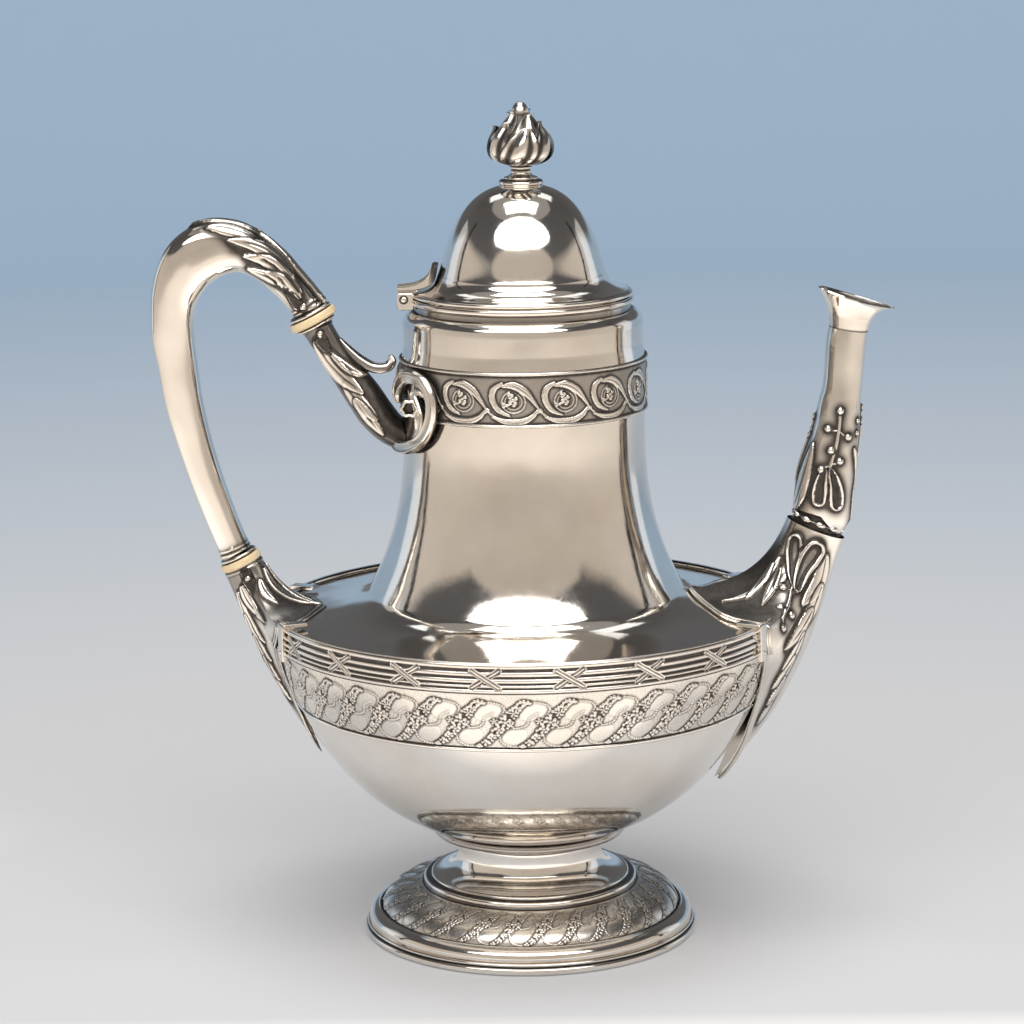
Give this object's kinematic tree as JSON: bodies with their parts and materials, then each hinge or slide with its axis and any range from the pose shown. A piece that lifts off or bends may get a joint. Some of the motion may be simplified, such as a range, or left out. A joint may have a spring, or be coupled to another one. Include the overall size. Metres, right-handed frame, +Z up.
{
  "type": "coffee pot",
  "caption": "Footed silver coffee pot with a hinged domed lid and bud finial, a tall spout, chased bands and a loop handle insulated by ivory discs",
  "frame": {"origin": "centre of the foot's underside on the table, which is also the centre of the bounding box's bottom face", "axes": "+Z up along the body's axis of revolution, +X towards the spout, -X towards the handle, +Y to the pot's left when poured"},
  "size_m": [0.234, 0.1622, 0.2665],
  "materials": {
    "polished_silver": "polished sterling silver with a soft worn sheen",
    "chased_silver": "matted and chased silver with darkened recesses",
    "cast_silver": "cast and chased silver, bright on the high points and dark in the recesses",
    "silver_fittings": "small plain silver pins and threads",
    "ivory": "warm cream ivory with a satin polish and faint grain"
  },
  "bodies": {
    "pot": {"foot_base_ring": "polished_silver", "foot_dome": "chased_silver", "foot_stem": "polished_silver", "foot_joint_bead": "cast_silver", "body_bowl": "polished_silver", "body_frieze_band": "chased_silver", "reeded_band": "cast_silver", "body_shoulder_neck": "polished_silver", "neck_frieze_band": "chased_silver", "neck_rim_ring": "polished_silver", "spout_base": "cast_silver", "spout_eave_moulding": "cast_silver", "spout_collar": "cast_silver", "spout_tube": "cast_silver", "spout_lip": "polished_silver", "spout_straps": "cast_silver", "handle_grip": "polished_silver", "upper_grip_ferrule": "polished_silver", "upper_insulator": "ivory", "upper_socket_ferrule": "polished_silver", "upper_insulator_pins": "silver_fittings", "upper_socket": "cast_silver", "upper_socket_curl": "cast_silver", "neck_volutes": "cast_silver", "lower_grip_ferrule": "polished_silver", "lower_insulator": "ivory", "lower_insulator_pins": "silver_fittings", "lower_socket": "cast_silver", "handle_straps": "cast_silver", "hinge_bracket": "polished_silver", "hinge_pin": "silver_fittings"},
    "lid": {"lid_dome": "polished_silver", "lid_bezel": "polished_silver", "lid_hinge_knuckle": "polished_silver", "lid_thumb_leaf": "cast_silver", "finial_collar": "polished_silver", "finial_stem": "polished_silver", "finial_bud": "cast_silver", "finial_screw": "silver_fittings", "finial_nut": "silver_fittings"}
  },
  "joints": [
    {"name": "lid_hinge", "type": "hinge", "parent": "pot", "child": "lid", "pos_m": [-0.0371, 0, 0.2057], "axis": [0, -1, 0], "range_deg": [0, 85]}
  ]
}
